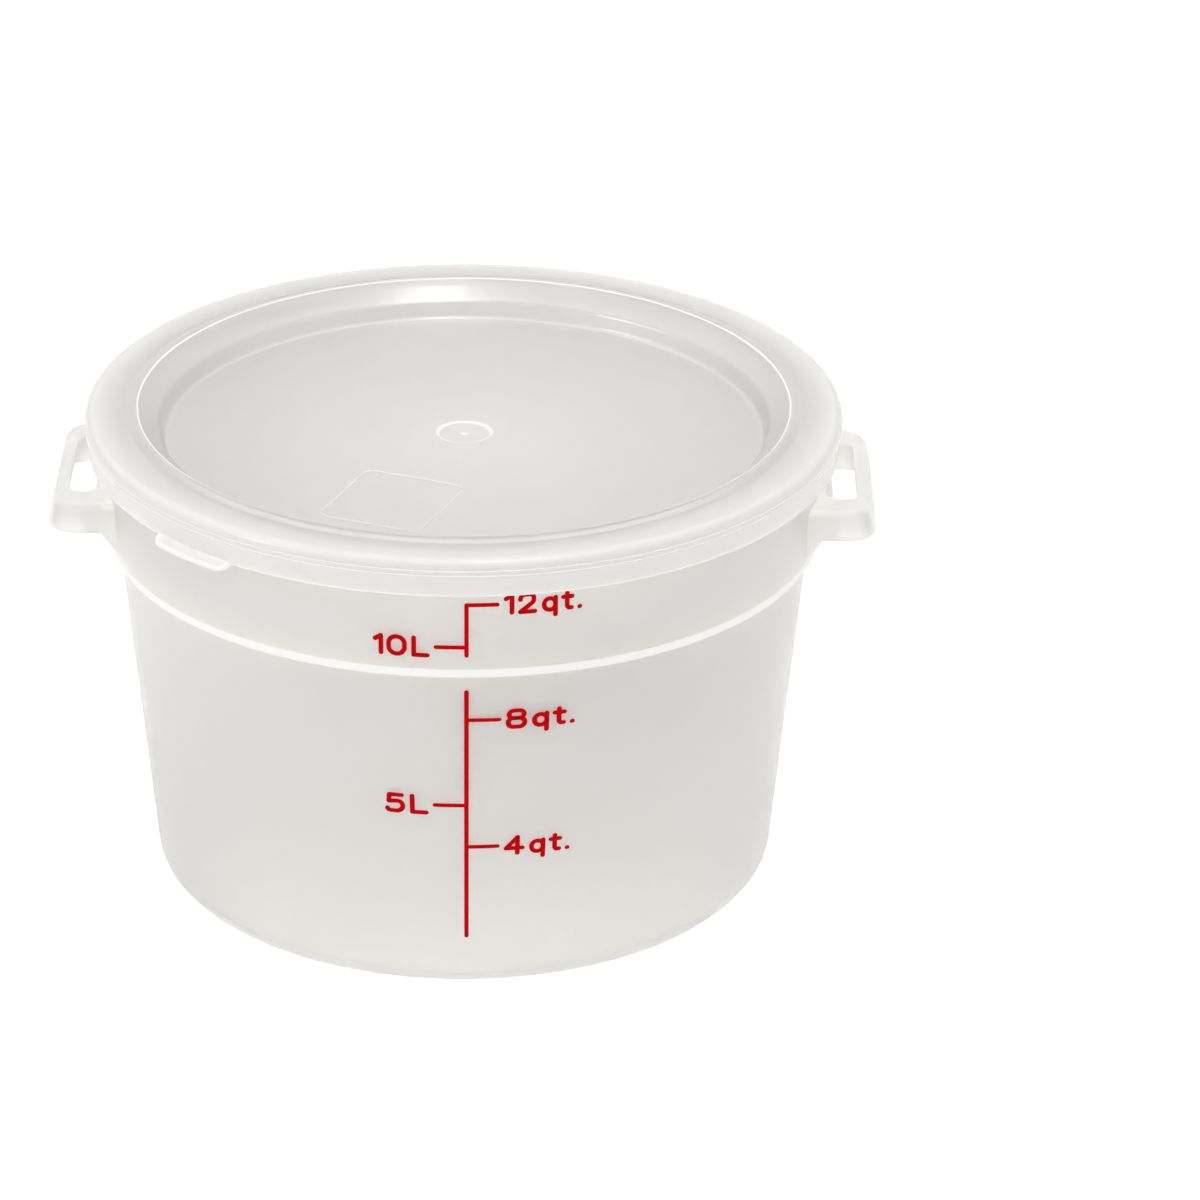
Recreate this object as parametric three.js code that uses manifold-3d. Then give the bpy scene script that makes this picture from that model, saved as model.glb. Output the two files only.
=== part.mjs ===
// A round food storage container: a tapering tub with a step in its wall and two loop handles,
// a press-on lid with a pull tab, and a measuring scale printed on the front of the tub.
// Millimetres, +Z up. The origin is on the bench under the tub's axis, and the handles lie along X.

import * as THREE from 'three';
import { mergeVertices } from 'three/addons/utils/BufferGeometryUtils.js';
import Module from 'manifold-3d';

const wasm = await Module();
wasm.setup();

const degrees = THREE.MathUtils.degToRad;

// Tub wall
const BASE_RADIUS = 132.9;              // outside of the lower wall, carried down to the bench
const BASE_CORNER_RADIUS = 11.5;        // rounding between the underside and the lower wall
const LOWER_WALL_HEIGHT = 153.6;        // bench to the underside of the step
const LOWER_WALL_DRAFT = degrees(5.5);
const STEP_WIDTH = 4.4;                 // how far the wall steps out
const STEP_ROUNDING = 1;
const UPPER_WALL_HEIGHT = 53.7;         // step to the top of the rim
const UPPER_WALL_DRAFT = degrees(1.2);
const TUB_WALL = 2.4;
const TUB_FLOOR = 2.8;

// Rim of the tub, which the lid snaps over
const LIP_WIDTH = 3;                    // how far the lip stands out from the upper wall
const LIP_HEIGHT = 4.2;
const LIP_ROUNDING = 1.3;

// Loop handles
const HANDLE_DROP = 13;                 // lower edge of the lid's skirt to the top of a handle
const HANDLE_HEIGHT = 13.5;
const HANDLE_HALF_LENGTH = 45.5;
const HANDLE_REACH = 19.7;              // how far the top of a handle stands out from the upper wall
const HANDLE_FLARE = degrees(13);       // outward slope of the grip bar, from its top down
const HANDLE_CORNER_RADIUS = 9;
const HANDLE_EDGE_RADIUS = 3;           // rounding of the upper outer edge
const GRIP_BAR_WIDTH = 5;
const ARM_LENGTH = 16;                  // each end of the loop, along Y
const FINGER_CORNER_RADIUS = 7;
const FINGER_PAD = 2.4;                 // thickening of the wall behind the fingers
const ARM_WALL = 2.8;                   // wall left round the hollow under each arm
const GUSSET_THICKNESS = 3;
const GUSSET_REACH = 6.1;
const GUSSET_DROP = 7.2;

// Lid
const LID_WALL = 2.2;
const LID_CLEARANCE = 0.4;              // between the lid and the rim that it seats on
const SNAP_BEAD = 0.9;                  // how far the bead stands in from the skirt's lower edge
const SNAP_BEAD_HEIGHT = 3.6;
const SKIRT_HEIGHT = 16.4;              // top of the lid's rim to the skirt's lower edge
const SKIRT_DRAFT = degrees(4.5);
const SKIRT_EDGE_ROUNDING = 0.8;
const RIM_EDGE_RADIUS = 4.2;
const RIDGE_SIZE = 0.35;                // the two fine ridges round the skirt
const RIDGE_SPACING = 2.2;
const RIDGE_GAP = 0.5;                  // rounded edge of the rim to the upper ridge
const CREST_INSET = 11.2;               // inside of the tub's rim to the middle of the crest
const CREST_WIDTH = 2.2;
const CREST_FLANK = 3.3;                // slope from the crest out to the flat of the rim
const CREST_HEIGHT = 1.1;               // crest above the flat of the rim
const CREST_ROUNDING = 0.8;
const SHOULDER_WIDTH = 8.9;             // gentle upper part of the recess wall
const SHOULDER_DROP = 7.8;
const RECESS_WALL_WIDTH = 2.4;          // steep lower part of the recess wall
const RECESS_DEPTH = 14.6;              // crest to the panel
const RECESS_ROUNDING = 2;
const GATE_DISH_RADIUS = 12;            // the moulding gate's shallow dish in the middle of the panel
const GATE_DISH_FLANK = 1.2;
const GATE_DISH_DEPTH = 0.6;
const GATE_NUB_RADIUS = 2;
const GATE_NUB_FLANK = 1;
const GATE_NUB_HEIGHT = 0.5;

// Pull tab on the skirt
const TAB_AZIMUTH = degrees(-132.5);
const TAB_LENGTH = 44;                  // along the skirt
const TAB_REACH = 4.7;
const TAB_THICKNESS = 1.8;
const TAB_DROOP = degrees(25);
const TAB_CORNER_RADIUS = 5.5;

// Raised outline of the bare label field on the lid
const FIELD_WIDTH = 46;
const FIELD_LENGTH = 51;
const FIELD_CORNER_RADIUS = 5;
const FIELD_LINE_WIDTH = 0.9;
const FIELD_LINE_HEIGHT = 0.3;
const FIELD_CENTRE = new THREE.Vector2(-28, -72);
const FIELD_TURN = degrees(-22);

// Printed scale
const SCALE_AZIMUTH = degrees(1.8);     // from the front, -Y, towards +X
const INK_LINE_WIDTH = 1.8;
const INK_THICKNESS = 0.25;
const INK_CLEARANCE = 0.15;
const TICK_LENGTH = 13;
const UPPER_LINE_GAP = 9.5;             // step to the foot of the upper line
const UPPER_LINE_LENGTH = 24.6;
const LOWER_LINE_GAP = 7.8;             // top of the lower line to the step
const LOWER_LINE_START = 25.3;          // bench to the foot of the lower line
const LITRE = 1e6;
const QUART = 946353;
const RIGHT = 1;
const LEFT = -1;
const MARKS = [
  { volume: 4 * QUART, side: RIGHT },
  { volume: 5 * LITRE, side: LEFT },
  { volume: 8 * QUART, side: RIGHT },
  { volume: 10 * LITRE, side: LEFT },
  { volume: 12 * QUART, side: RIGHT },
];

// Fineness of the faceted surfaces
const TURN_SEGMENTS = 64;
const ARC_SAG = 0.15;                   // most that a facet may lie inside its arc
const SHARED_SIDE = 0.49;               // most of a side that an arc takes where both ends are rounded
const OWN_SIDE = 0.95;                  // most of a side that an arc takes where the other end is sharp
const EDGE_FACETS = 3;                  // across the rounded upper edge of a handle
const CURVE_STEP = 3.5;               // longest side of an outline that is bent round the axis
const VOLUME_STEP = 0.1;
const WELD = 1e-4;                      // points closer than this are one point
const OVERRUN = 10;                     // how far a cutting tool runs past what it cuts

// Heights and radii that the pieces share
const RIM_TOP = LOWER_WALL_HEIGHT + UPPER_WALL_HEIGHT;
const LEDGE_TOP = LOWER_WALL_HEIGHT + TUB_WALL;
const lowerOuter = (z) => BASE_RADIUS + z * Math.tan(LOWER_WALL_DRAFT);
const STEP_RADIUS = lowerOuter(LOWER_WALL_HEIGHT) + STEP_WIDTH;
const upperOuter = (z) => STEP_RADIUS + (z - LOWER_WALL_HEIGHT) * Math.tan(UPPER_WALL_DRAFT);
const LIP_RADIUS = upperOuter(RIM_TOP) + LIP_WIDTH;
const RIM_INNER_RADIUS = upperOuter(RIM_TOP) - TUB_WALL;
const SEAT_HEIGHT = RIM_TOP + LID_CLEARANCE;

// Heights in the lid's own frame, whose zero is the lid's seat on the rim
const SKIRT_BOTTOM = LID_WALL - SKIRT_HEIGHT;
const CREST_TOP = LID_WALL + CREST_HEIGHT;
const PANEL_TOP = CREST_TOP - RECESS_DEPTH;
const SKIRT_INNER_RADIUS = LIP_RADIUS + LID_CLEARANCE + SNAP_BEAD;

// Corners are [x, y, radius]. Each one with a radius becomes an arc that touches both of its sides.
function roundedPath(corners, closed = false) {
  const path = [];
  const count = corners.length;
  corners.forEach(([x, y, radius = 0], index) => {
    const here = new THREE.Vector2(x, y);
    const isEnd = !closed && (index === 0 || index === count - 1);
    if (radius === 0 || isEnd) {
      path.push(here);
      return;
    }
    const [beforeX, beforeY, beforeRadius = 0] = corners[(index + count - 1) % count];
    const [afterX, afterY, afterRadius = 0] = corners[(index + 1) % count];
    const toBefore = new THREE.Vector2(beforeX, beforeY).sub(here);
    const toAfter = new THREE.Vector2(afterX, afterY).sub(here);
    const room = Math.min(
      toBefore.length() * (beforeRadius > 0 ? SHARED_SIDE : OWN_SIDE),
      toAfter.length() * (afterRadius > 0 ? SHARED_SIDE : OWN_SIDE),
    );
    const half = 0.5 * toBefore.angleTo(toAfter);
    const cut = Math.min(radius / Math.tan(half), room);
    const arcRadius = cut * Math.tan(half);
    toBefore.normalize();
    toAfter.normalize();
    const bisector = toBefore.clone().add(toAfter).normalize();
    const centre = here.clone().addScaledVector(bisector, arcRadius / Math.sin(half));
    const start = here.clone().addScaledVector(toBefore, cut).sub(centre);
    const end = here.clone().addScaledVector(toAfter, cut).sub(centre);
    const sweep = Math.atan2(start.cross(end), start.dot(end));
    const facetTurn = 2 * Math.acos(1 - Math.min(1, ARC_SAG / arcRadius));
    const steps = Math.ceil(Math.abs(sweep) / facetTurn);
    for (let step = 0; step <= steps; step += 1) {
      const turned = start.clone().rotateAround(new THREE.Vector2(), (sweep * step) / steps);
      path.push(turned.add(centre));
    }
  });
  return path;
}

// The same corner on the other face of a wall, which lies to the right of the path.
function otherFace([beforeX, beforeY], [x, y], [afterX, afterY], thickness) {
  const before = new THREE.Vector2(y - beforeY, beforeX - x).normalize();
  const after = new THREE.Vector2(afterY - y, x - afterX).normalize();
  const scale = thickness / (1 + before.dot(after));
  return [x + (before.x + after.x) * scale, y + (before.y + after.y) * scale];
}

// Splits the sides of a closed outline until none is longer than a step.
function split(outline, longest) {
  return outline.flatMap((start, index) => {
    const end = outline[(index + 1) % outline.length];
    const pieces = Math.max(1, Math.ceil(start.distanceTo(end) / longest));
    return Array.from({ length: pieces }, (_, step) => start.clone().lerp(end, step / pieces));
  });
}

// Moves every vertex of a geometry to where a rule puts it.
function reshape(geometry, rule) {
  const positions = geometry.getAttribute('position');
  const vertex = new THREE.Vector3();
  for (let index = 0; index < positions.count; index += 1) {
    vertex.fromBufferAttribute(positions, index);
    rule(vertex);
    positions.setXYZ(index, vertex.x, vertex.y, vertex.z);
  }
  return geometry;
}

function solidFrom(geometry) {
  geometry.deleteAttribute('normal');
  geometry.deleteAttribute('uv');
  const merged = mergeVertices(geometry, WELD);
  const triangles = [];
  const corners = merged.index.array;
  for (let at = 0; at < corners.length; at += 3) {
    const [a, b, c] = corners.slice(at, at + 3);
    if (a !== b && b !== c && c !== a) {
      triangles.push(a, b, c);
    }
  }
  const vertProperties = Float32Array.from(merged.getAttribute('position').array);
  const triVerts = Uint32Array.from(triangles);
  return new wasm.Manifold(new wasm.Mesh({ numProp: 3, vertProperties, triVerts }));
}

function geometryFrom(solid) {
  const { vertProperties, triVerts } = solid.getMesh();
  const geometry = new THREE.BufferGeometry();
  geometry.setAttribute('position', new THREE.BufferAttribute(vertProperties, 3));
  geometry.setIndex(new THREE.BufferAttribute(triVerts, 1));
  geometry.computeVertexNormals();
  return geometry;
}

// A profile runs from the axis, out along the underside, up the outside and back in along the top.
function turned(profile) {
  const geometry = new THREE.LatheGeometry(profile, TURN_SEGMENTS);
  geometry.rotateX(Math.PI / 2);
  return solidFrom(geometry);
}

function plate(outline, bottom, top, holes = []) {
  const shape = new THREE.Shape(outline);
  shape.holes = holes.map((hole) => new THREE.Path(hole));
  const geometry = new THREE.ExtrudeGeometry(shape, { depth: top - bottom, bevelEnabled: false });
  geometry.translate(0, 0, bottom);
  return geometry;
}

function tubShell() {
  const lipBottom = RIM_TOP - LIP_HEIGHT;
  return turned(roundedPath([
    [0, 0],
    [BASE_RADIUS, 0, BASE_CORNER_RADIUS],
    [lowerOuter(LOWER_WALL_HEIGHT), LOWER_WALL_HEIGHT, STEP_ROUNDING],
    [STEP_RADIUS, LOWER_WALL_HEIGHT, STEP_ROUNDING],
    [upperOuter(lipBottom), lipBottom, STEP_ROUNDING],
    [LIP_RADIUS, lipBottom, LIP_ROUNDING],
    [LIP_RADIUS, RIM_TOP, LIP_ROUNDING],
    [RIM_INNER_RADIUS, RIM_TOP, LIP_ROUNDING],
    [upperOuter(LEDGE_TOP) - TUB_WALL, LEDGE_TOP, STEP_ROUNDING],
    [lowerOuter(LEDGE_TOP) - TUB_WALL, LEDGE_TOP, STEP_ROUNDING],
    [lowerOuter(TUB_FLOOR) - TUB_WALL, TUB_FLOOR, BASE_CORNER_RADIUS - TUB_WALL],
    [0, TUB_FLOOR],
  ]));
}

// Fills the inside of the tub and half of its wall, to keep the handles out of the inside.
function tubBore() {
  const inset = TUB_WALL / 2;
  const top = RIM_TOP + OVERRUN;
  return turned(roundedPath([
    [0, TUB_FLOOR],
    [lowerOuter(TUB_FLOOR) - inset, TUB_FLOOR],
    [lowerOuter(LEDGE_TOP) - inset, LEDGE_TOP],
    [upperOuter(LEDGE_TOP) - inset, LEDGE_TOP],
    [upperOuter(top) - inset, top],
    [0, top],
  ]));
}

// One loop handle on +X, open through the middle for the fingers and hollow under each arm.
function loopHandle() {
  const top = SEAT_HEIGHT + SKIRT_BOTTOM - HANDLE_DROP;
  const bottom = top - HANDLE_HEIGHT;
  const wall = upperOuter(top);
  const reach = wall + HANDLE_REACH;
  const half = HANDLE_HALF_LENGTH;
  const fingerHalf = half - ARM_LENGTH;
  const barInside = reach - GRIP_BAR_WIDTH;
  const fingerInside = wall + FINGER_PAD;
  const wallAtEnd = Math.sqrt(upperOuter(bottom) ** 2 - half ** 2);
  const root = wallAtEnd - HANDLE_EDGE_RADIUS - OVERRUN;
  const flared = (vertex) => {
    vertex.x += (top - vertex.z) * Math.tan(HANDLE_FLARE);
  };

  const outline = new THREE.Shape(roundedPath([
    [root, -half],
    [reach, -half, HANDLE_CORNER_RADIUS],
    [reach, half, HANDLE_CORNER_RADIUS],
    [root, half],
  ], true));
  const block = new THREE.ExtrudeGeometry(outline, {
    depth: HANDLE_HEIGHT - HANDLE_EDGE_RADIUS,
    bevelThickness: HANDLE_EDGE_RADIUS,
    bevelSize: HANDLE_EDGE_RADIUS,
    bevelOffset: -HANDLE_EDGE_RADIUS,
    bevelSegments: EDGE_FACETS,
  });
  block.translate(0, 0, bottom);
  const fingerHole = plate(roundedPath([
    [fingerInside, -fingerHalf, FINGER_CORNER_RADIUS],
    [barInside, -fingerHalf, FINGER_CORNER_RADIUS],
    [barInside, fingerHalf, FINGER_CORNER_RADIUS],
    [fingerInside, fingerHalf, FINGER_CORNER_RADIUS],
  ], true), bottom - OVERRUN, top + OVERRUN);
  let handle = solidFrom(reshape(block, flared))
    .trimByPlane([0, 0, 1], bottom)
    .subtract(solidFrom(reshape(fingerHole, flared)));

  for (const side of [-1, 1]) {
    const near = side * (fingerHalf + ARM_WALL);
    const far = side * (half - ARM_WALL);
    const hollow = plate(roundedPath([
      [wall, Math.min(near, far), ARM_WALL],
      [reach - ARM_WALL, Math.min(near, far), ARM_WALL],
      [reach - ARM_WALL, Math.max(near, far), ARM_WALL],
      [wall, Math.max(near, far), ARM_WALL],
    ], true), bottom - OVERRUN, top - ARM_WALL);
    handle = handle.subtract(solidFrom(reshape(hollow, flared)));

    const gusset = plate([
      new THREE.Vector2(root, bottom + ARM_WALL),
      new THREE.Vector2(root, bottom - GUSSET_DROP),
      new THREE.Vector2(wallAtEnd, bottom - GUSSET_DROP),
      new THREE.Vector2(wallAtEnd + GUSSET_REACH, bottom),
      new THREE.Vector2(wallAtEnd + GUSSET_REACH, bottom + ARM_WALL),
    ], 0, GUSSET_THICKNESS);
    gusset.rotateX(Math.PI / 2);
    gusset.translate(0, side > 0 ? half : GUSSET_THICKNESS - half, 0);
    handle = handle.add(solidFrom(gusset));
  }
  return handle;
}

function tub() {
  const bore = tubBore();
  const handle = loopHandle();
  const opposite = handle.rotate([0, 0, 180]);
  return tubShell().add(handle.subtract(bore)).add(opposite.subtract(bore));
}

function lidShell() {
  const slope = Math.tan(SKIRT_DRAFT);
  const innerSkirt = (z) => SKIRT_INNER_RADIUS + (z - SKIRT_BOTTOM) * slope;
  const outerSkirt = (z) => innerSkirt(z) + LID_WALL;
  const rimTop = LID_WALL;
  const crestRadius = RIM_INNER_RADIUS - CREST_INSET;
  const crestInside = crestRadius - CREST_WIDTH / 2;
  const crestOutside = crestRadius + CREST_WIDTH / 2;
  const shoulder = [crestInside - SHOULDER_WIDTH, CREST_TOP - SHOULDER_DROP];
  const panelEdge = [shoulder[0] - RECESS_WALL_WIDTH, PANEL_TOP];
  const slopeAtRim = [crestInside - (CREST_HEIGHT * SHOULDER_WIDTH) / SHOULDER_DROP, rimTop];
  const dishFloor = PANEL_TOP - GATE_DISH_DEPTH;
  const nubTop = dishFloor + GATE_NUB_HEIGHT;
  const lipFoot = -LIP_HEIGHT - LID_CLEARANCE;
  const beadFoot = lipFoot - SNAP_BEAD_HEIGHT;
  const upperRidge = rimTop - RIM_EDGE_RADIUS - RIDGE_GAP;
  const ridge = (height) => [
    [outerSkirt(height - RIDGE_SIZE), height - RIDGE_SIZE],
    [outerSkirt(height) + RIDGE_SIZE, height],
    [outerSkirt(height + RIDGE_SIZE), height + RIDGE_SIZE],
  ];
  const thick = RECESS_ROUNDING + LID_WALL;
  return turned(roundedPath([
    [0, PANEL_TOP - LID_WALL],
    [...otherFace([0, PANEL_TOP], panelEdge, shoulder, LID_WALL), thick],
    [...otherFace(panelEdge, shoulder, slopeAtRim, LID_WALL), RECESS_ROUNDING],
    [...otherFace(shoulder, slopeAtRim, [crestOutside, rimTop], LID_WALL), RECESS_ROUNDING],
    [innerSkirt(0), 0, RIM_EDGE_RADIUS - LID_WALL],
    [innerSkirt(lipFoot), lipFoot],
    [SKIRT_INNER_RADIUS - SNAP_BEAD, (lipFoot + beadFoot) / 2, SNAP_BEAD],
    [innerSkirt(beadFoot), beadFoot],
    [SKIRT_INNER_RADIUS, SKIRT_BOTTOM, SKIRT_EDGE_ROUNDING],
    [outerSkirt(SKIRT_BOTTOM), SKIRT_BOTTOM, SKIRT_EDGE_ROUNDING],
    ...ridge(upperRidge - RIDGE_SPACING),
    ...ridge(upperRidge),
    [outerSkirt(rimTop), rimTop, RIM_EDGE_RADIUS],
    [crestOutside + CREST_FLANK, rimTop, RECESS_ROUNDING],
    [crestOutside, CREST_TOP, CREST_ROUNDING],
    [crestInside, CREST_TOP, CREST_ROUNDING],
    [...shoulder, thick],
    [...panelEdge, RECESS_ROUNDING],
    [GATE_DISH_RADIUS, PANEL_TOP],
    [GATE_DISH_RADIUS - GATE_DISH_FLANK, dishFloor],
    [GATE_NUB_RADIUS, dishFloor],
    [GATE_NUB_RADIUS - GATE_NUB_FLANK, nubTop],
    [0, nubTop],
  ]));
}

// A thin drooping lip on the skirt's lower edge, to pull the lid off by.
function pullTab() {
  const root = SKIRT_INNER_RADIUS + LID_WALL / 2;
  const reach = SKIRT_INNER_RADIUS + LID_WALL + TAB_REACH;
  const half = TAB_LENGTH / 2;
  const outline = roundedPath([
    [root, -half],
    [reach, -half, TAB_CORNER_RADIUS],
    [reach, half, TAB_CORNER_RADIUS],
    [root, half],
  ], true);
  const flat = plate(split(outline, CURVE_STEP), SKIRT_BOTTOM, SKIRT_BOTTOM + TAB_THICKNESS);
  const tab = reshape(flat, (vertex) => {
    const angle = vertex.y / reach;
    const droop = (vertex.x - root) * Math.tan(TAB_DROOP);
    vertex.set(vertex.x * Math.cos(angle), vertex.x * Math.sin(angle), vertex.z - droop);
  });
  tab.rotateZ(TAB_AZIMUTH);
  return solidFrom(tab);
}

function labelField() {
  const frame = (inset) => {
    const x = FIELD_WIDTH / 2 - inset;
    const y = FIELD_LENGTH / 2 - inset;
    const radius = FIELD_CORNER_RADIUS - inset;
    return roundedPath([[-x, -y, radius], [x, -y, radius], [x, y, radius], [-x, y, radius]], true);
  };
  const foot = PANEL_TOP - LID_WALL / 2;
  const top = PANEL_TOP + FIELD_LINE_HEIGHT;
  const raised = plate(frame(0), foot, top, [frame(FIELD_LINE_WIDTH)]);
  raised.rotateZ(FIELD_TURN);
  raised.translate(FIELD_CENTRE.x, FIELD_CENTRE.y, 0);
  return solidFrom(raised);
}

function lid() {
  return lidShell().add(pullTab()).add(labelField());
}

// Inside radius of the tub at a height, with its rounded floor corner.
function insideRadius(z) {
  if (z > LEDGE_TOP) {
    return upperOuter(z) - TUB_WALL;
  }
  const corner = BASE_CORNER_RADIUS - TUB_WALL;
  const belowCorner = Math.max(0, corner - (z - TUB_FLOOR));
  const rounding = corner - Math.sqrt(corner ** 2 - Math.min(corner, belowCorner) ** 2);
  return lowerOuter(z) - TUB_WALL - rounding;
}

// Height to which a volume in cubic millimetres fills the tub.
function fillHeight(volume) {
  let z = TUB_FLOOR;
  let filled = 0;
  while (filled < volume && z < RIM_TOP) {
    filled += Math.PI * insideRadius(z + VOLUME_STEP / 2) ** 2 * VOLUME_STEP;
    z += VOLUME_STEP;
  }
  return z;
}

// One printed line with its ticks, as a thin skin that follows the slope of the wall.
function scaleLine(start, end, marks, wallRadius) {
  const half = INK_LINE_WIDTH / 2;
  const tick = ({ height, side }) => {
    const root = side * half;
    const tip = side * (half + TICK_LENGTH);
    return [[root, height - half], [tip, height - half], [tip, height + half], [root, height + half]];
  };
  const ticksOn = (wanted) => marks.filter(({ side }) => side === wanted).flatMap(tick);
  const corners = [
    [half, start],
    ...ticksOn(RIGHT),
    [half, end],
    [-half, end],
    ...ticksOn(LEFT).reverse(),
    [-half, start],
  ];
  const outline = corners
    .map(([x, y]) => new THREE.Vector2(x, y))
    .filter((point, index, all) => point.distanceTo(all.at(index - 1)) > WELD);
  const skin = plate(split(outline, CURVE_STEP), 0, INK_THICKNESS);
  return reshape(skin, (vertex) => {
    const radius = wallRadius(vertex.y) + INK_CLEARANCE + vertex.z;
    const angle = vertex.x / wallRadius(start) - Math.PI / 2;
    vertex.set(radius * Math.cos(angle), radius * Math.sin(angle), vertex.y);
  });
}

// The marks whose whole tick lies on a printed line.
function marksBetween(start, end) {
  const reach = INK_LINE_WIDTH / 2 - WELD;
  return MARKS.map(({ volume, side }) => ({ height: fillHeight(volume), side }))
    .filter(({ height }) => height - reach > start && height + reach < end);
}

function upperScale() {
  const start = LOWER_WALL_HEIGHT + UPPER_LINE_GAP;
  const end = start + UPPER_LINE_LENGTH;
  return scaleLine(start, end, marksBetween(start, end), upperOuter);
}

function lowerScale() {
  const end = LOWER_WALL_HEIGHT - LOWER_LINE_GAP;
  return scaleLine(LOWER_LINE_START, end, marksBetween(LOWER_LINE_START, end), lowerOuter);
}

function piece(name, geometry, material) {
  const mesh = new THREE.Mesh(geometry, material);
  mesh.name = name;
  return mesh;
}

// Frosted polypropylene for the two mouldings, and a screen-printing ink for the scale.
const tubPlastic = new THREE.MeshStandardMaterial({ color: '#e4dfda', roughness: 0.38, metalness: 0 });
const lidPlastic = new THREE.MeshStandardMaterial({ color: '#e2dedd', roughness: 0.32, metalness: 0 });
const upperInk = new THREE.MeshStandardMaterial({ color: '#be060a', roughness: 0.5, metalness: 0 });
const lowerInk = upperInk.clone();

const printedScale = new THREE.Group();
printedScale.rotation.z = SCALE_AZIMUTH;
printedScale.add(piece('scale_upper', upperScale(), upperInk));
printedScale.add(piece('scale_lower', lowerScale(), lowerInk));

const cover = piece('lid', geometryFrom(lid()), lidPlastic);
cover.position.z = SEAT_HEIGHT;

const container = new THREE.Group();
container.add(piece('tub', geometryFrom(tub()), tubPlastic));
container.add(printedScale);
container.add(cover);

export default container;
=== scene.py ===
from math import acos, atan2, ceil, cos, pi, radians, sin, sqrt, tan, tau

import bmesh
import bpy
from bpy.props import FloatProperty, FloatVectorProperty, IntProperty, PointerProperty
from mathutils import Matrix, Vector


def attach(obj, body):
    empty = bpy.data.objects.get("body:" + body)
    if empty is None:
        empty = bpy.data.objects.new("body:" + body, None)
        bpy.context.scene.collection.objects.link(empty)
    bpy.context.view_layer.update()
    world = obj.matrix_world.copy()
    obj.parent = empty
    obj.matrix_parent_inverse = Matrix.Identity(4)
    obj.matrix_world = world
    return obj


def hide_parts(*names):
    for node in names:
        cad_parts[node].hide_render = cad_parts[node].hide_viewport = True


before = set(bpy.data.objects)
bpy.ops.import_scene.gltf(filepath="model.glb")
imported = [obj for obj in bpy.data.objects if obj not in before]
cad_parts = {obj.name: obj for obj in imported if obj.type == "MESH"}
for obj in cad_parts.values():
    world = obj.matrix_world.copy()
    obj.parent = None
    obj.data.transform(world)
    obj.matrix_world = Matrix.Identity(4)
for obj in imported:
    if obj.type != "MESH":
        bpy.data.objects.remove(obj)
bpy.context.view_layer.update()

bl_info = {
    "name": "Round food storage container",
    "version": (1, 0, 0),
    "blender": (4, 5, 0),
    "location": "3D View > Sidebar > Container",
    "description": "A translucent tub with loop handles, a printed measuring scale and a press-on lid",
    "category": "Object",
}

MM = 0.001
LITRE = 0.001                       # cubic metres
QUART = 0.000946353
RIGHT = 1
LEFT = -1

# The printed marks, from the lowest up: what each one says, its volume and its side of the line.
MARKS = (
    ("4 qt.", 4 * QUART, RIGHT),
    ("5 L", 5 * LITRE, LEFT),
    ("8 qt.", 8 * QUART, RIGHT),
    ("10 L", 10 * LITRE, LEFT),
    ("12 qt.", 12 * QUART, RIGHT),
)

# Fineness of the surfaces
ARC_STEP = radians(7.5)             # turn between neighbouring points of a rounded corner
SHARED_SIDE = 0.49                  # most of a side that an arc takes where both ends are rounded
OWN_SIDE = 0.95                     # most of a side that an arc takes where the other end is sharp
LONG_SIDE = 1.6 * MM                # a straight side longer than this gets two holding points
HOLD = 0.25 * MM                    # from the end of a straight side to its holding point
WRAP_STEP = 1.5 * MM                # longest side of a stroke that is wrapped round the wall
VOLUME_STEP = 0.1 * MM
OVERRUN = 10 * MM                   # how far a cutting tool runs past what it cuts
SHARP = radians(32)                 # edges that turn more than this stay crisp
MERGE = 0.002 * MM                  # points nearer than this become one
PEN_SIDES = 12                      # facets round a printed stroke
DOT_SEGMENTS = 16                   # facets round the dot that ends a stroke
DOT_RINGS = 8

# Shares of the pull tab
TAB_PLATE = 0.75                    # of its reach, up to where its edge starts to round
TAB_ROUNDING = 0.45                 # of its thickness, the rounding of its edge
TAB_OUTLINE = 0.6                   # of its thickness, the width of its bright outline

# How milky the plastic looks, from clear (0) to white (1): thin walls are clear and thick parts milky, and
# thin bright lines along edges are painted near white as painted glow and highlights.
MILKY_WALL = 0.06
MILKY_BASE = 0.12
MILKY_LIP = 0.3
MILKY_HANDLE = 0.3
MILKY_STEP_AND_GLOW = 1.0
MILKY_PANEL = 0.1
MILKY_RIM = 0.2                     # the walls of the recess too
RECESS_FOOT = 0.75                  # of the recess's rounding, how far the recess's look runs onto the panel
MILKY_CREST_AND_GLOW = 1.0
MILKY_SKIRT = 0.55
MILKY_SKIRT_LINE_AND_GLOW = 0.9              # the skirt's lower edge and its ridges
MILKY_TAB = 0.2
MILKY_TAB_OUTLINE_AND_GLOW = 0.8
MILKY_FIELD_AND_GLOW = 0.8
MILKY_DISH_AND_HIGHLIGHT = 0.7
MILKY_NUB_AND_HIGHLIGHT = 0.6
# The white of the milkiest plastic, which the painted glow along edges takes too.
MILK_AND_GLOW_WHITE = "#f4f3f1"             # what the milkiest plastic looks like

# Sockets of a colour mix, which are told apart by number
MIX_A = 6
MIX_B = 7
MIXED = 2


def linear(hex_colour):
    """The linear values of an sRGB hex colour."""
    channels = [int(hex_colour[at:at + 2], 16) / 255 for at in (1, 3, 5)]
    return tuple(c / 12.92 if c <= 0.04045 else ((c + 0.055) / 1.055) ** 2.4 for c in channels)


def shaded(tint, share=1.0):
    """A linear tint, darkened to this share, as a shader takes it."""
    return (*(share * channel for channel in tint), 1.0)


def size(name, description, default):
    """A length in metres that a user can change."""
    return FloatProperty(name=name, description=description, default=default, unit="LENGTH", precision=5)


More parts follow.
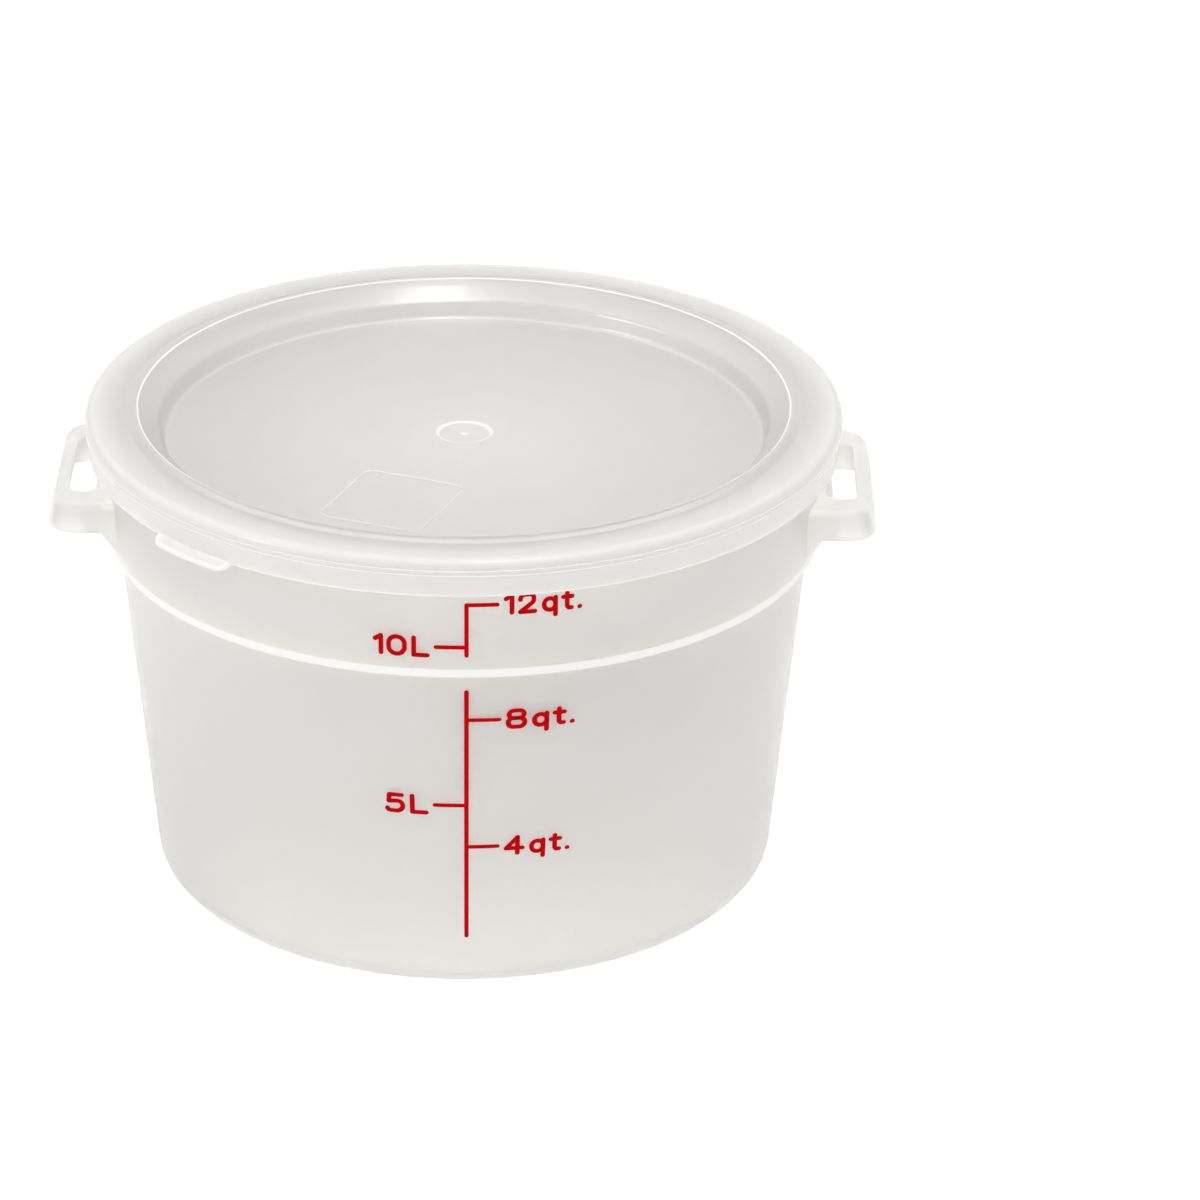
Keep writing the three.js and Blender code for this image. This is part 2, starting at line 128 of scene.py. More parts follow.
def turn(name, description, default):
    """An angle, given in degrees, that a user can change."""
    return FloatProperty(name=name, description=description, default=radians(default), subtype="ANGLE")


def colour(name, description, default):
    """A colour, given as sRGB hex, that a user can change."""
    return FloatVectorProperty(
        name=name, description=description, default=linear(default), subtype="COLOR", min=0.0, max=1.0)


class TubSizes(bpy.types.PropertyGroup):
    base_radius: size("Base radius", "Outside of the lower wall, carried down to the bench", 0.1329)
    base_corner: size("Base corner", "Rounding between the underside and the lower wall", 0.0115)
    lower_height: size("Lower wall", "Bench to the underside of the step", 0.1536)
    lower_draft: turn("Lower draft", "Slope of the lower wall", 5.5)
    step_width: size("Step width", "How far the wall steps out", 0.0044)
    step_rounding: size("Step rounding", "Rounding of the step's corners", 0.001)
    upper_height: size("Upper wall", "Step to the top of the rim", 0.0537)
    upper_draft: turn("Upper draft", "Slope of the upper wall", 1.2)
    wall: size("Wall", "Thickness of the wall", 0.0024)
    floor: size("Floor", "Thickness of the floor", 0.0028)
    lip_width: size("Lip width", "How far the rim's lip stands out", 0.003)
    lip_height: size("Lip height", "Height of the rim's lip", 0.0042)
    lip_rounding: size("Lip rounding", "Rounding of the lip's edges", 0.0013)
    segments: IntProperty(name="Segments", description="Facets round the tub and the lid", default=288)


class HandleSizes(bpy.types.PropertyGroup):
    drop: size("Drop", "Lower edge of the lid's skirt to the top of a handle", 0.013)
    height: size("Height", "Height of a handle", 0.0135)
    half_length: size("Half length", "Half of a handle along the wall", 0.0455)
    reach: size("Reach", "How far the top stands out from the wall", 0.0197)
    flare: turn("Flare", "Outward slope of the grip bar, from its top down", 13)
    corner: size("Corner", "Rounding of the corners, seen from above", 0.0125)
    edge: size("Upper edge", "Rounding of the upper outer edge", 0.0035)
    lower_edge: size("Lower edge", "Rounding of the lower outer edge", 0.0025)
    grip: size("Grip bar", "Width of the grip bar", 0.006)
    arm: size("Arm", "Each end of the loop along the wall", 0.016)
    finger_corner: size("Finger corner", "Rounding of the finger hole's corners", 0.0055)
    finger_edge: size("Finger edge", "Rounding of the finger hole's edges", 0.0018)
    finger_pad: size("Finger pad", "Thickening of the wall behind the fingers", 0.0024)
    arm_wall: size("Arm wall", "Wall left round the hollow under each arm", 0.0028)
    gusset_thickness: size("Gusset thickness", "Thickness of the rib under each end", 0.003)
    gusset_reach: size("Gusset reach", "How far a gusset stands out from the wall", 0.0061)
    gusset_drop: size("Gusset drop", "How far a gusset runs down the wall", 0.0072)


class LidSizes(bpy.types.PropertyGroup):
    wall: size("Wall", "Thickness of the lid", 0.0022)
    clearance: size("Clearance", "Between the lid and the rim that it seats on", 0.0004)
    bead: size("Bead", "How far the bead stands in from the skirt", 0.0009)
    bead_height: size("Bead height", "Height of the bead", 0.0036)
    skirt_height: size("Skirt", "Top of the rim to the skirt's lower edge", 0.0164)
    skirt_draft: turn("Skirt draft", "Slope of the skirt", 4.5)
    skirt_edge: size("Skirt edge", "Rounding of the skirt's lower edge", 0.0008)
    rim_edge: size("Rim edge", "Rounding between the rim and the skirt", 0.0042)
    ridge_size: size("Ridge", "Height of the two fine ridges round the skirt", 0.00035)
    ridge_spacing: size("Ridge spacing", "Between the two ridges", 0.0022)
    ridge_gap: size("Ridge gap", "Rounded edge of the rim to the upper ridge", 0.0005)
    crest_inset: size("Crest inset", "Inside of the tub's rim to the middle of the crest", 0.0112)
    crest_width: size("Crest width", "Flat of the crest", 0.0022)
    crest_flank: size("Crest flank", "Slope from the crest out to the flat of the rim", 0.0033)
    crest_height: size("Crest height", "Crest above the flat of the rim", 0.0011)
    crest_rounding: size("Crest rounding", "Rounding of the crest", 0.0008)
    shoulder_width: size("Shoulder width", "Gentle upper part of the recess wall", 0.0089)
    shoulder_drop: size("Shoulder drop", "Fall of that upper part", 0.0078)
    recess_wall: size("Recess wall", "Width of the steep lower part", 0.0024)
    recess_depth: size("Recess depth", "Crest to the panel", 0.0146)
    recess_rounding: size("Recess rounding", "Rounding of the recess's corners", 0.002)
    dish_radius: size("Gate dish", "Radius of the shallow dish in the middle of the panel", 0.012)
    dish_flank: size("Dish flank", "Slope round the dish", 0.0012)
    dish_depth: size("Dish depth", "Depth of the dish", 0.0006)
    nub_radius: size("Gate nub", "Radius of the nub in the dish", 0.002)
    nub_flank: size("Nub flank", "Slope round the nub", 0.001)
    nub_height: size("Nub height", "Height of the nub", 0.0005)
    tab_azimuth: turn("Tab azimuth", "Where the pull tab is, round the axis", -132.5)
    tab_length: size("Tab length", "Pull tab along the skirt", 0.044)
    tab_reach: size("Tab reach", "How far the tab stands out", 0.0047)
    tab_thickness: size("Tab thickness", "Thickness of the tab", 0.0018)
    tab_droop: turn("Tab droop", "How far the tab slopes down", 25)
    tab_corner: size("Tab corner", "Rounding of the tab's corners", 0.0055)
    field_width: size("Field width", "Width of the raised outline on the panel", 0.046)
    field_length: size("Field length", "Length of the raised outline", 0.051)
    field_corner: size("Field corner", "Rounding of the outline's corners", 0.005)
    field_line: size("Field line", "Width of the raised line", 0.0009)
    field_height: size("Field height", "Height of the raised line", 0.0003)
    field_x: size("Field X", "Middle of the outline, along X", -0.028)
    field_y: size("Field Y", "Middle of the outline, along Y", -0.072)
    field_turn: turn("Field turn", "How the outline is turned on the panel", -22)


class ScaleSizes(bpy.types.PropertyGroup):
    azimuth: turn("Azimuth", "The scale's place, from the front towards the right handle", 1.8)
    line_width: size("Line width", "Width of the lines and ticks", 0.0018)
    ink: size("Ink", "Thickness of the ink", 0.0002)
    tick_length: size("Tick", "Length of a tick", 0.012)
    upper_gap: size("Upper gap", "Step to the foot of the upper line", 0.0095)
    upper_length: size("Upper line", "Length of the upper line", 0.0246)
    lower_gap: size("Lower gap", "Top of the lower line to the step", 0.0078)
    lower_start: size("Lower start", "Bench to the foot of the lower line", 0.0253)
    figure_height: size("Figure height", "Height of a figure, between the middles of its strokes", 0.0077)
    figure_stroke: size("Figure stroke", "Width of the strokes of the figures", 0.002)
    figure_gap: size("Figure gap", "Between neighbouring figures", 0.0012)
    word_gap: size("Word gap", "What a space adds", 0.0006)
    label_gap: size("Label gap", "Tip of a tick to its label", 0.002)


class Finishes(bpy.types.PropertyGroup):
    tub_tint: colour("Tub plastic", "Frosted polypropylene", "#f8f7f5")
    lid_tint: colour("Lid plastic", "Satin polypropylene", "#edecea")
    ink_red: colour("Ink", "Screen-printed red", "#c60003")
    floor_white: colour("Studio floor", "Matt white paper", "#fefefe")


# Shapes that the pieces share


def lower_outer(tub, z):
    return tub.base_radius + z * tan(tub.lower_draft)


def step_radius(tub):
    return lower_outer(tub, tub.lower_height) + tub.step_width


def upper_outer(tub, z):
    return step_radius(tub) + (z - tub.lower_height) * tan(tub.upper_draft)


def rim_top(tub):
    return tub.lower_height + tub.upper_height


def ledge_top(tub):
    return tub.lower_height + tub.wall


def step_band_top(tub):
    """Height up to which the step is painted as a bright band: the ledge seen through the wall, and above it
    a painted glow of light gathered in the ledge's edge.
    """
    return ledge_top(tub) + tub.step_width / 3


def lip_radius(tub):
    return upper_outer(tub, rim_top(tub)) + tub.lip_width


def rim_inner(tub):
    return upper_outer(tub, rim_top(tub)) - tub.wall


def seat_height(tub, lid):
    return rim_top(tub) + lid.clearance


def skirt_bottom(tub, lid):
    return seat_height(tub, lid) + lid.wall - lid.skirt_height


def skirt_inner(tub, lid):
    return lip_radius(tub) + lid.clearance + lid.bead


def panel_top(tub, lid):
    return seat_height(tub, lid) + lid.wall + lid.crest_height - lid.recess_depth


def rounded(corners, closed=False):
    """A path through corners (x, y, radius), where each radius becomes an arc that touches both sides."""
    path = []
    count = len(corners)
    for index, (x, y, *radius) in enumerate(corners):
        here = Vector((x, y))
        is_end = not closed and index in (0, count - 1)
        if not radius or is_end:
            path.append(here)
            continue
        before_x, before_y, *before_radius = corners[index - 1]
        after_x, after_y, *after_radius = corners[(index + 1) % count]
        to_before = Vector((before_x, before_y)) - here
        to_after = Vector((after_x, after_y)) - here
        room = min(
            to_before.length * (SHARED_SIDE if before_radius else OWN_SIDE),
            to_after.length * (SHARED_SIDE if after_radius else OWN_SIDE),
        )
        to_before.normalize()
        to_after.normalize()
        half = acos(max(-1.0, min(1.0, to_before.dot(to_after)))) / 2
        cut = min(radius[0] / tan(half), room)
        arc_radius = cut * tan(half)
        centre = here + (to_before + to_after).normalized() * (arc_radius / sin(half))
        start = here + to_before * cut - centre
        turns_left = to_before.x * to_after.y - to_before.y * to_after.x < 0
        sweep = (pi - 2 * half) * (1 if turns_left else -1)
        steps = ceil(abs(sweep) / ARC_STEP)
        for step in range(steps + 1):
            path.append(centre + Matrix.Rotation(sweep * step / steps, 2) @ start)
    return path


def held(path):
    """The path with a point near both ends of each long side, so that flats stay flat beside roundings."""
    result = []
    for start, end in zip(path, path[1:]):
        result.append(start)
        side = end - start
        if side.length > LONG_SIDE:
            along = side.normalized() * HOLD
            result.append(start + along)
            result.append(end - along)
    result.append(path[-1])
    return result


def other_face(before, here, after, thickness):
    """The same corner on the other face of a wall, which lies to the right of the path."""
    first = Vector((here[1] - before[1], before[0] - here[0])).normalized()
    second = Vector((after[1] - here[1], here[0] - after[0])).normalized()
    moved = Vector(here) + (first + second) * (thickness / (1 + first.dot(second)))
    return moved.x, moved.y


# Node trees and meshes


def add(tree, kind, settings, inputs):
    """Adds a node with its settings, and gives each input a value or a link."""
    node = tree.nodes.new(kind)
    for name, value in settings.items():
        setattr(node, name, value)
    for name, value in inputs.items():
        if isinstance(value, bpy.types.NodeSocket):
            tree.links.new(value, node.inputs[name])
        else:
            node.inputs[name].default_value = value
    return node


def new_tree(name, sockets):
    """A geometry node tree with named inputs, and the node that gives them."""
    tree = bpy.data.node_groups.new(name, "GeometryNodeTree")
    for label, kind in sockets.items():
        tree.interface.new_socket(label, in_out="INPUT", socket_type=kind)
    tree.interface.new_socket("Result", in_out="OUTPUT", socket_type="NodeSocketGeometry")
    return tree, add(tree, "NodeGroupInput", {}, {}).outputs


def moulding_tree():
    """Turns a profile, drawn in X and Z, round the axis into a closed moulding."""
    tree, given = new_tree("Turned moulding", {
        "Profile": "NodeSocketGeometry",
        "Segments": "NodeSocketInt",
        "Plastic": "NodeSocketMaterial",
    })
    points = add(tree, "GeometryNodeAttributeDomainSize", {"component": "MESH"}, {
        "Geometry": given["Profile"]})
    rows = add(tree, "ShaderNodeMath", {"operation": "ADD"}, {0: given["Segments"], 1: 1.0})
    grid = add(tree, "GeometryNodeMeshGrid", {}, {
        "Vertices X": points.outputs["Point Count"], "Vertices Y": rows.outputs[0]})
    index = add(tree, "GeometryNodeInputIndex", {}, {})
    share = add(tree, "ShaderNodeMath", {"operation": "DIVIDE"}, {0: index.outputs[0], 1: rows.outputs[0]})
    column = add(tree, "ShaderNodeMath", {"operation": "FLOOR"}, {0: share.outputs[0]})
    row = add(tree, "ShaderNodeMath", {"operation": "MODULO"}, {0: index.outputs[0], 1: rows.outputs[0]})
    place = add(tree, "GeometryNodeInputPosition", {}, {})
    drawn = add(tree, "GeometryNodeSampleIndex", {"data_type": "FLOAT_VECTOR"}, {
        "Geometry": given["Profile"], "Value": place.outputs[0], "Index": column.outputs[0]})
    part = add(tree, "ShaderNodeSeparateXYZ", {}, {0: drawn.outputs[0]})
    around = add(tree, "ShaderNodeMath", {"operation": "DIVIDE"}, {0: row.outputs[0], 1: given["Segments"]})
    angle = add(tree, "ShaderNodeMath", {"operation": "MULTIPLY"}, {0: around.outputs[0], 1: -tau})
    cosine = add(tree, "ShaderNodeMath", {"operation": "COSINE"}, {0: angle.outputs[0]})
    sine = add(tree, "ShaderNodeMath", {"operation": "SINE"}, {0: angle.outputs[0]})
    x = add(tree, "ShaderNodeMath", {"operation": "MULTIPLY"}, {0: part.outputs["X"], 1: cosine.outputs[0]})
    y = add(tree, "ShaderNodeMath", {"operation": "MULTIPLY"}, {0: part.outputs["X"], 1: sine.outputs[0]})
    swung = add(tree, "ShaderNodeCombineXYZ", {}, {
        "X": x.outputs[0], "Y": y.outputs[0], "Z": part.outputs["Z"]})
    moved = add(tree, "GeometryNodeSetPosition", {}, {
        "Geometry": grid.outputs["Mesh"], "Position": swung.outputs[0]})
    closed = add(tree, "GeometryNodeMergeByDistance", {}, {"Geometry": moved.outputs[0], "Distance": MERGE})
    real = add(tree, "GeometryNodeRealizeInstances", {}, {"Geometry": closed.outputs[0]})
    painted = add(tree, "GeometryNodeSetMaterial", {}, {
        "Geometry": real.outputs[0], "Material": given["Plastic"]})
    add(tree, "NodeGroupOutput", {}, {"Result": painted.outputs[0]})
    return tree


def printing_tree():
    """Gives flat strokes, drawn in X and Z, a width and wraps them round a tapering wall."""
    tree, given = new_tree("Printing on a wall", {
        "Strokes": "NodeSocketGeometry",
        "Stroke Width": "NodeSocketFloat",
        "Ink Thickness": "NodeSocketFloat",
        "Wall Radius": "NodeSocketFloat",
        "Wall Slope": "NodeSocketFloat",
        "Wrap Radius": "NodeSocketFloat",
        "Azimuth": "NodeSocketFloat",
        "Ink": "NodeSocketMaterial",
    })
    half = add(tree, "ShaderNodeMath", {"operation": "MULTIPLY"}, {0: given["Stroke Width"], 1: 0.5})
    curve = add(tree, "GeometryNodeMeshToCurve", {}, {"Mesh": given["Strokes"]})
    pen = add(tree, "GeometryNodeCurvePrimitiveCircle", {}, {
        "Resolution": PEN_SIDES, "Radius": half.outputs[0]})
    strokes = add(tree, "GeometryNodeCurveToMesh", {}, {
        "Curve": curve.outputs[0], "Profile Curve": pen.outputs[0], "Fill Caps": True})
    ends = add(tree, "GeometryNodeCurveEndpointSelection", {}, {})
    dot = add(tree, "GeometryNodeMeshUVSphere", {}, {
        "Segments": DOT_SEGMENTS, "Rings": DOT_RINGS, "Radius": half.outputs[0]})
    dots = add(tree, "GeometryNodeInstanceOnPoints", {}, {
        "Points": curve.outputs[0], "Selection": ends.outputs[0], "Instance": dot.outputs["Mesh"]})
    drawn = add(tree, "GeometryNodeJoinGeometry", {}, {0: strokes.outputs[0]})
    tree.links.new(dots.outputs[0], drawn.inputs[0])
    real = add(tree, "GeometryNodeRealizeInstances", {}, {"Geometry": drawn.outputs[0]})
    place = add(tree, "GeometryNodeInputPosition", {}, {})
    part = add(tree, "ShaderNodeSeparateXYZ", {}, {0: place.outputs[0]})
    flatness = add(tree, "ShaderNodeMath", {"operation": "DIVIDE"}, {
        0: given["Ink Thickness"], 1: given["Stroke Width"]})
    depth = add(tree, "ShaderNodeMath", {"operation": "MULTIPLY"}, {
        0: part.outputs["Y"], 1: flatness.outputs[0]})
    wall = add(tree, "ShaderNodeMath", {"operation": "MULTIPLY_ADD"}, {
        0: part.outputs["Z"], 1: given["Wall Slope"], 2: given["Wall Radius"]})
    radius = add(tree, "ShaderNodeMath", {"operation": "SUBTRACT"}, {
        0: wall.outputs[0], 1: depth.outputs[0]})
    around = add(tree, "ShaderNodeMath", {"operation": "DIVIDE"}, {
        0: part.outputs["X"], 1: given["Wrap Radius"]})
    angle = add(tree, "ShaderNodeMath", {"operation": "ADD"}, {0: around.outputs[0], 1: given["Azimuth"]})
    sine = add(tree, "ShaderNodeMath", {"operation": "SINE"}, {0: angle.outputs[0]})
    cosine = add(tree, "ShaderNodeMath", {"operation": "COSINE"}, {0: angle.outputs[0]})
    front = add(tree, "ShaderNodeMath", {"operation": "MULTIPLY"}, {0: cosine.outputs[0], 1: -1.0})
    x = add(tree, "ShaderNodeMath", {"operation": "MULTIPLY"}, {0: radius.outputs[0], 1: sine.outputs[0]})
    y = add(tree, "ShaderNodeMath", {"operation": "MULTIPLY"}, {0: radius.outputs[0], 1: front.outputs[0]})
    wrapped = add(tree, "ShaderNodeCombineXYZ", {}, {
        "X": x.outputs[0], "Y": y.outputs[0], "Z": part.outputs["Z"]})
    moved = add(tree, "GeometryNodeSetPosition", {}, {
        "Geometry": real.outputs[0], "Position": wrapped.outputs[0]})
    painted = add(tree, "GeometryNodeSetMaterial", {}, {
        "Geometry": moved.outputs[0], "Material": given["Ink"]})
    add(tree, "NodeGroupOutput", {}, {"Result": painted.outputs[0]})
    return tree


def new_object(name, mesh):
    piece = bpy.data.objects.new(name, mesh)
    bpy.context.scene.collection.objects.link(piece)
    return piece


def make_plain(piece):
    """Turns what the object's modifiers make into its own mesh."""
    evaluated = piece.evaluated_get(bpy.context.evaluated_depsgraph_get())
    mesh = bpy.data.meshes.new_from_object(evaluated)
    piece.modifiers.clear()
    piece.data = mesh
    return piece


def grow(name, mesh, tree, values):
    """An object whose mesh a node tree makes from a drawing, with the tree's inputs given by name."""
    piece = new_object(name, mesh)
    modifier = piece.modifiers.new(tree.name, "NODES")
    modifier.node_group = tree
    for item in tree.interface.items_tree:
        if item.in_out == "INPUT" and item.name in values:
            modifier[item.identifier] = values[item.name]
    return make_plain(piece)


def turned(name, profile, segments, material):
    drawing = bpy.data.meshes.new(name)
    points = [(point.x, 0.0, point.y) for point in held(profile)]
    drawing.from_pydata(points, [(at, at + 1) for at in range(len(points) - 1)], [])
    return grow(name, drawing, moulding_tree(), {"Segments": segments, "Plastic": material})


def loft(name, loops, endless=False):
    """A closed body through loops of equal length, each one anticlockwise seen from where the loops lead.
    It has flat ends, or is endless and leads from its last loop back to its first."""
    form = bmesh.new()
    rings = [[form.verts.new(point) for point in loop] for loop in loops]
    if endless:
        rings.append(rings[0])
    else:
        form.faces.new(reversed(rings[0]))
        form.faces.new(rings[-1])
    count = len(rings[0])
    for lower, upper in zip(rings, rings[1:]):
        for at in range(count):
            after = (at + 1) % count
            form.faces.new((lower[at], lower[after], upper[after], upper[at]))
    mesh = bpy.data.meshes.new(name)
    form.to_mesh(mesh)
    form.free()
    return new_object(name, mesh)


def combine(piece, operation, *tools):
    """Joins tools to a piece or cuts them out of it, and removes the tools."""
    for tool in tools:
        modifier = piece.modifiers.new(tool.name, "BOOLEAN")
        modifier.operation = operation
        modifier.solver = "MANIFOLD"
        modifier.object = tool
        make_plain(piece)
        bpy.data.objects.remove(tool)
    return piece


def mark_milkiness_and_glow(piece, rule):
    """Stores how milky the plastic looks at each corner of a face, with the painted glow of its bright edge
    lines, by a rule of the corner's place and the middle of the face."""
    mesh = piece.data
    milkiness_and_glow = mesh.attributes.new("milkiness_and_glow", "FLOAT", "CORNER")
    for face in mesh.polygons:
        for index, vertex in zip(face.loop_indices, face.vertices):
            milkiness_and_glow.data[index].value = rule(mesh.vertices[vertex].co, face.center)


def split_large_faces(piece):
    """Splits the faces of many sides that joining leaves, so that they shade evenly."""
    form = bmesh.new()
    form.from_mesh(piece.data)
    bmesh.ops.triangulate(form, faces=[face for face in form.faces if len(face.verts) > 4])
    form.to_mesh(piece.data)
    form.free()


def seat(piece, material, body, slot, *nodes):
    """Smooths a finished piece, gives it its finish and its body, and hides the solids that it stands for.
    """
    split_large_faces(piece)
    piece.data.materials.clear()
    piece.data.materials.append(material)
    for face in piece.data.polygons:
        face.material_index = 0
    piece.data.shade_smooth()
    piece.data.set_sharp_from_angle(angle=SHARP)
    piece.modifiers.new("flats stay flat", "WEIGHTED_NORMAL").keep_sharp = True
    make_plain(piece)
    piece.visible_shadow = False    # thin translucent walls throw no dark shadow
    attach(piece, body)
    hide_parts(*nodes)


# Finishes


def polypropylene(name, tint, roughness, clearest, skin):
    """Unpigmented polypropylene, injection moulded. It lets light through and scatters it, so a thin
    wall is hazy and a thick part is milk white, and thin bright edge lines are painted white as painted
    glow.
    It has a soft sheen, faint cloudy flow marks and a very fine spark-eroded grain from the mould, and a
    smooth skin adds bright highlights by its share."""
    material = bpy.data.materials.new(name)
    material.use_nodes = True
    tree = material.node_tree
    shader = tree.nodes["Principled BSDF"]
    shader.inputs["IOR"].default_value = 1.49
    shader.inputs["Coat Weight"].default_value = skin
    shader.inputs["Coat Roughness"].default_value = 0.16
    shader.inputs["Coat IOR"].default_value = 1.49
    milkiness_and_glow = add(tree, "ShaderNodeAttribute", {"attribute_name": "milkiness_and_glow"}, {})
    clearness = add(tree, "ShaderNodeMapRange", {}, {
        "Value": milkiness_and_glow.outputs["Fac"], "To Min": clearest, "To Max": 0.0})
    tree.links.new(clearness.outputs[0], shader.inputs["Transmission Weight"])
    where = add(tree, "ShaderNodeTexCoord", {}, {}).outputs["Object"]
    flow_width = 35 * MM
    flow = add(tree, "ShaderNodeTexNoise", {}, {"Vector": where, "Scale": 1 / flow_width, "Detail": 3.0})
    cloudy = add(tree, "ShaderNodeMix", {"data_type": "RGBA"}, {
        "Factor": flow.outputs["Fac"], MIX_A: shaded(tint, 0.95), MIX_B: shaded(tint)})
    # Milky parts, and the painted glow of bright edge lines, are mixed towards white.
    whitened = add(tree, "ShaderNodeMix", {"data_type": "RGBA"}, {
        "Factor": milkiness_and_glow.outputs["Fac"],
        MIX_A: cloudy.outputs[MIXED],
        MIX_B: shaded(linear(MILK_AND_GLOW_WHITE)),
    })
    tree.links.new(whitened.outputs[MIXED], shader.inputs["Base Color"])
    grain_width = 1.5 * MM          # the real grain is about 0.1 mm, and is drawn coarser to show
    grain_swing = 0.02
    grain = add(tree, "ShaderNodeTexNoise", {}, {"Vector": where, "Scale": 1 / grain_width, "Detail": 2.0})
    satin = add(tree, "ShaderNodeMapRange", {}, {
        "Value": grain.outputs["Fac"],
        "To Min": roughness - grain_swing,
        "To Max": roughness + grain_swing,
    })
    # The milkier the plastic is, the more it blurs what is behind it.
    blur = add(tree, "ShaderNodeMapRange", {}, {
        "Value": milkiness_and_glow.outputs["Fac"], "From Min": 0.2, "From Max": 0.5, "To Max": 0.25})
    soft = add(tree, "ShaderNodeMath", {"operation": "ADD"}, {0: satin.outputs[0], 1: blur.outputs[0]})
    tree.links.new(soft.outputs[0], shader.inputs["Roughness"])
    bump = add(tree, "ShaderNodeBump", {}, {
        "Strength": 0.01, "Distance": 0.05 * MM, "Height": grain.outputs["Fac"]})
    tree.links.new(bump.outputs[0], shader.inputs["Normal"])
    return material


def screen_ink(name, tint):
    """Screen-printing ink. It is dense and slightly satin, and the mesh of the screen leaves its
    density a little uneven."""
    material = bpy.data.materials.new(name)
    material.use_nodes = True
    tree = material.node_tree
    shader = tree.nodes["Principled BSDF"]
    shader.inputs["Roughness"].default_value = 0.5
    shader.inputs["Specular IOR Level"].default_value = 0.03
    where = add(tree, "ShaderNodeTexCoord", {}, {}).outputs["Object"]
    mesh_width = 1.2 * MM           # a real screen's mesh is about 0.1 mm, and is drawn coarser to show
    density = add(tree, "ShaderNodeTexNoise", {}, {"Vector": where, "Scale": 1 / mesh_width, "Detail": 2.0})
    uneven = add(tree, "ShaderNodeMix", {"data_type": "RGBA"}, {
        "Factor": density.outputs["Fac"], MIX_A: shaded(tint, 0.8), MIX_B: shaded(tint)})
    tree.links.new(uneven.outputs[MIXED], shader.inputs["Base Color"])
    return material


def paper(name, tint):
    """Matt white background paper. It is flat and even, with a barely uneven tooth."""
    material = bpy.data.materials.new(name)
    material.use_nodes = True
    tree = material.node_tree
    shader = tree.nodes["Principled BSDF"]
    shader.inputs["Roughness"].default_value = 0.9
    shader.inputs["Specular IOR Level"].default_value = 0.1
    where = add(tree, "ShaderNodeTexCoord", {}, {}).outputs["Object"]
    tooth_width = 4 * MM            # real paper's tooth is under 1 mm, and is drawn coarser to show
    tooth = add(tree, "ShaderNodeTexNoise", {}, {"Vector": where, "Scale": 1 / tooth_width})
    pale = add(tree, "ShaderNodeMix", {"data_type": "RGBA"}, {
        "Factor": tooth.outputs["Fac"], MIX_A: shaded(tint, 0.98), MIX_B: shaded(tint)})
    tree.links.new(pale.outputs[MIXED], shader.inputs["Base Color"])
    return material


# The tub


def tub_profile(tub):
    lip_bottom = rim_top(tub) - tub.lip_height
    ledge = ledge_top(tub)
    return rounded([
        (0, 0),
        (tub.base_radius, 0, tub.base_corner),
        (lower_outer(tub, tub.lower_height), tub.lower_height, tub.step_rounding),
        (step_radius(tub), tub.lower_height, tub.step_rounding),
        (upper_outer(tub, step_band_top(tub)), step_band_top(tub)),
        (upper_outer(tub, lip_bottom), lip_bottom, tub.step_rounding),
        (lip_radius(tub), lip_bottom, tub.lip_rounding),
        (lip_radius(tub), rim_top(tub), tub.lip_rounding),
        (rim_inner(tub), rim_top(tub), tub.lip_rounding),
        (upper_outer(tub, lip_bottom) - tub.wall, lip_bottom),
        (upper_outer(tub, ledge) - tub.wall, ledge, tub.step_rounding),
        (lower_outer(tub, ledge) - tub.wall, ledge, tub.step_rounding),
        (lower_outer(tub, tub.lower_height) - tub.wall, tub.lower_height),
        (lower_outer(tub, tub.floor) - tub.wall, tub.floor, tub.base_corner - tub.wall),
        (0, tub.floor),
    ])


def bore_profile(tub):
    """The inside of the tub and half of its wall."""
    inset = tub.wall / 2
    ledge = ledge_top(tub)
    top = rim_top(tub) + OVERRUN
    return rounded([
        (0, tub.floor),
        (lower_outer(tub, tub.floor) - inset, tub.floor),
        (lower_outer(tub, ledge) - inset, ledge),
        (upper_outer(tub, ledge) - inset, ledge),
        (upper_outer(tub, top) - inset, top),
        (0, top),
    ])


def box_outline(low_x, high_x, low_y, high_y, corner):
    return rounded([
        (low_x, low_y, corner),
        (high_x, low_y, corner),
        (high_x, high_y, corner),
        (low_x, high_y, corner),
    ], closed=True)


def quarter_turns():
    """Angles from 0 to a right angle, a step apart."""
    steps = ceil(pi / 2 / ARC_STEP)
    return [pi / 2 * step / steps for step in range(steps + 1)]


